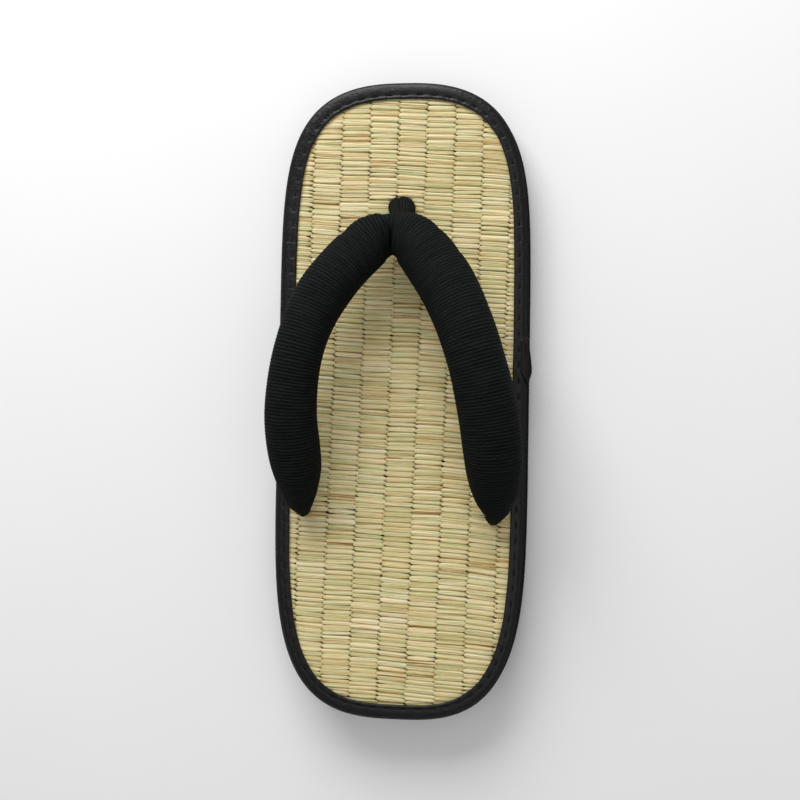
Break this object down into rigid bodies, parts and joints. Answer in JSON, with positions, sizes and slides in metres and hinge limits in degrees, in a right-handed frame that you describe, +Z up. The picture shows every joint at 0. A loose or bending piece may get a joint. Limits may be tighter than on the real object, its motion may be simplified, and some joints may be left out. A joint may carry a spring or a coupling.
{
  "type": "zori sandal",
  "caption": "Flat zori sandal: rush-covered footbed with a dark bound edge, padded V-shaped straps on a short toe post, and a low foam rubber sole.",
  "frame": {"origin": "on the ground, under the middle of the sole", "axes": "+Y towards the toe, +Z up, +X to the wearer's right"},
  "size_m": [0.1036, 0.26, 0.0536],
  "materials": {
    "sole_rubber": "matt foam rubber, faintly pitted",
    "rush": "woven dried rush, pale straw with darker and greener stalks",
    "binding_tape": "semi-matt coated tape with one row of stitches",
    "strap_cloth": "near-black cloth with fine cross ribs over padding",
    "post_cloth": "matt dark ribbed cloth"
  },
  "bodies": {
    "root": {"outsole": "sole_rubber", "footbed": "rush", "edge_binding": "binding_tape", "straps": "strap_cloth", "toe_post": "post_cloth"}
  },
  "joints": []
}
